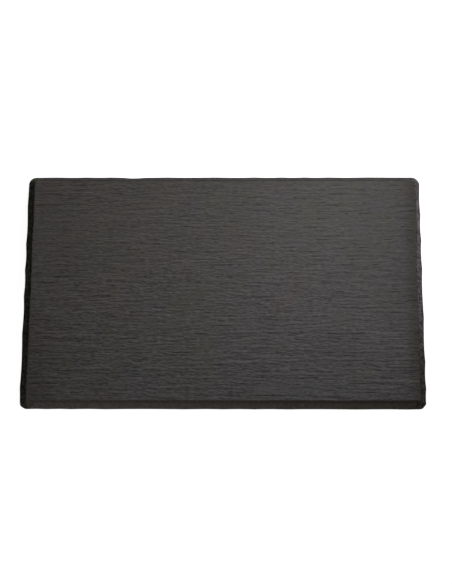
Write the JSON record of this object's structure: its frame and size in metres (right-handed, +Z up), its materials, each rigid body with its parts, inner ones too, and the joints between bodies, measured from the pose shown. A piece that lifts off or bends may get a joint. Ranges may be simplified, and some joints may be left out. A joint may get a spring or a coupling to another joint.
{
  "type": "serving tray",
  "caption": "Flat rectangular slate-look serving tray in moulded melamine, with a sloped chipped edge, a hollow underside and bonded non-slip feet.",
  "frame": {"origin": "on the table, under the middle of the tray, in the plane of the feet's soles", "axes": "+X along the tray's length, +Y from the front edge to the rear edge, +Z up out of the serving face"},
  "size_m": [0.53, 0.325, 0.0125],
  "materials": {
    "melamine": "satin black, riven slate texture",
    "silicone": "matt",
    "adhesive": "matt, pale and slightly translucent"
  },
  "bodies": {
    "root": {"tray_body": "melamine", "front_left_foot": "silicone", "front_right_foot": "silicone", "rear_right_foot": "silicone", "rear_left_foot": "silicone", "front_left_adhesive": "adhesive", "front_right_adhesive": "adhesive", "rear_right_adhesive": "adhesive", "rear_left_adhesive": "adhesive"}
  },
  "joints": []
}
